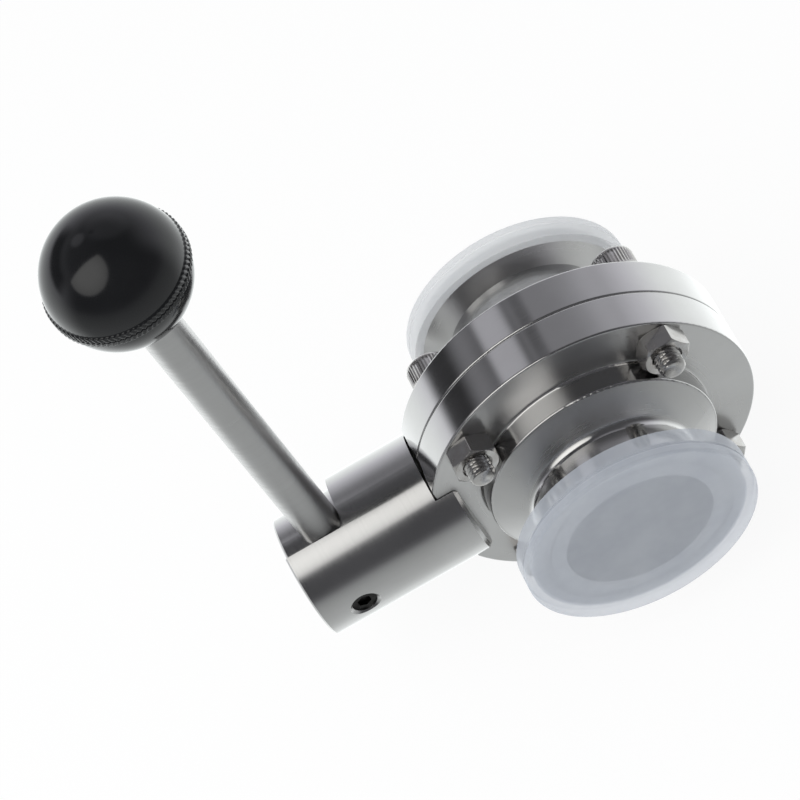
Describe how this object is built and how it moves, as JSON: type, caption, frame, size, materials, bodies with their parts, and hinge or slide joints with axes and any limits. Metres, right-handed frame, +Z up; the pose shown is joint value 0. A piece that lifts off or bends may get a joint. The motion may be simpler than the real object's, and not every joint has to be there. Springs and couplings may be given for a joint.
{
  "type": "sanitary butterfly valve",
  "caption": "Sanitary quarter-turn butterfly valve with bolted body halves, clamp ferrules under dust caps, a side hub and a ball-knob lever.",
  "frame": {"origin": "centre of the front ferrule's sealing face", "axes": "Y along the pipe axis from the front port to the rear port; stem axis along X with the hub at -X; +Z up, along the lever rod in the closed position"},
  "size_m": [0.1162, 0.0725, 0.1749],
  "materials": {
    "polished_steel": "turned and polished stainless steel",
    "turned_steel": "turned stainless steel",
    "satin_steel": "satin stainless steel",
    "fastener_steel": "plain stainless fasteners",
    "seat_rubber": "smooth white silicone rubber",
    "seal_rubber": "black rubber",
    "bush_plastic": "ivory low-friction plastic",
    "knob_plastic": "glossy black phenolic",
    "insert_brass": "machined brass",
    "cap_plastic": "milky translucent soft plastic"
  },
  "bodies": {
    "valve_body": {"front_body_half": "polished_steel", "rear_body_half": "polished_steel", "seat_ring": "seat_rubber", "upper_bush": "bush_plastic", "lower_bush": "bush_plastic", "hub_sleeve": "turned_steel", "thrust_washer": "bush_plastic", "retaining_screw": "fastener_steel", "flange_bolts": "fastener_steel", "flange_nuts": "fastener_steel"},
    "handle": {"valve_disc": "polished_steel", "stem_o_rings": "seal_rubber", "drive_block": "turned_steel", "end_screw": "fastener_steel", "end_washer": "fastener_steel", "lever_rod": "satin_steel", "knob": "knob_plastic", "knob_insert": "insert_brass"},
    "front_dust_cap": {"front_cap": "cap_plastic"},
    "rear_dust_cap": {"rear_cap": "cap_plastic"}
  },
  "joints": [
    {"name": "handle_turn", "type": "hinge", "parent": "valve_body", "child": "handle", "pos_m": [0, 0.03425, 0], "axis": [-1, 0, 0], "range_deg": [0, 90]},
    {"name": "front_cap_pull", "type": "slide", "parent": "valve_body", "child": "front_dust_cap", "axis": [0, -1, 0], "range_m": [0, 0.04]},
    {"name": "rear_cap_pull", "type": "slide", "parent": "valve_body", "child": "rear_dust_cap", "axis": [0, 1, 0], "range_m": [0, 0.04]}
  ]
}
